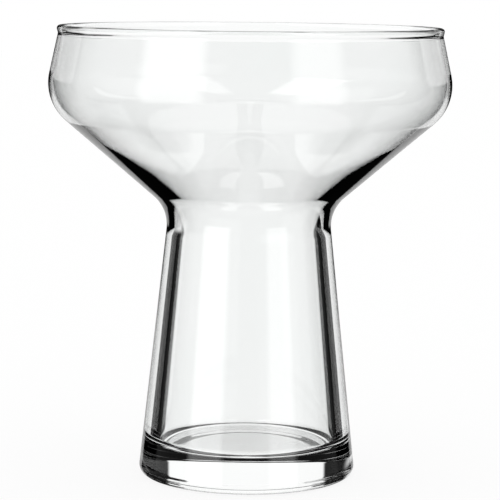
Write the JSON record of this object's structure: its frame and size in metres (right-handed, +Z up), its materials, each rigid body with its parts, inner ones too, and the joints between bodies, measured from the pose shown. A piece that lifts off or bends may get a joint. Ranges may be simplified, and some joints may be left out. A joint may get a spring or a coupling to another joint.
{
  "type": "coupe glass",
  "caption": "Clear drinking glass with a wide upright bowl over a conical funnel, a wide hollow tapered stem and a thick rounded foot that stands flat on a table.",
  "frame": {"origin": "on the table, under the middle of the foot", "axes": "+Z up along the axis of turning, towards the open mouth; the glass is the same all round, so +X and +Y are free"},
  "size_m": [0.1076, 0.1076, 0.121],
  "materials": {
    "clear_glass": "clear fire-polished soda-lime glass, smooth inside and out"
  },
  "bodies": {
    "root": {"rim": "clear_glass", "wall": "clear_glass", "shoulder": "clear_glass", "funnel": "clear_glass", "stem": "clear_glass", "foot": "clear_glass"}
  },
  "joints": []
}
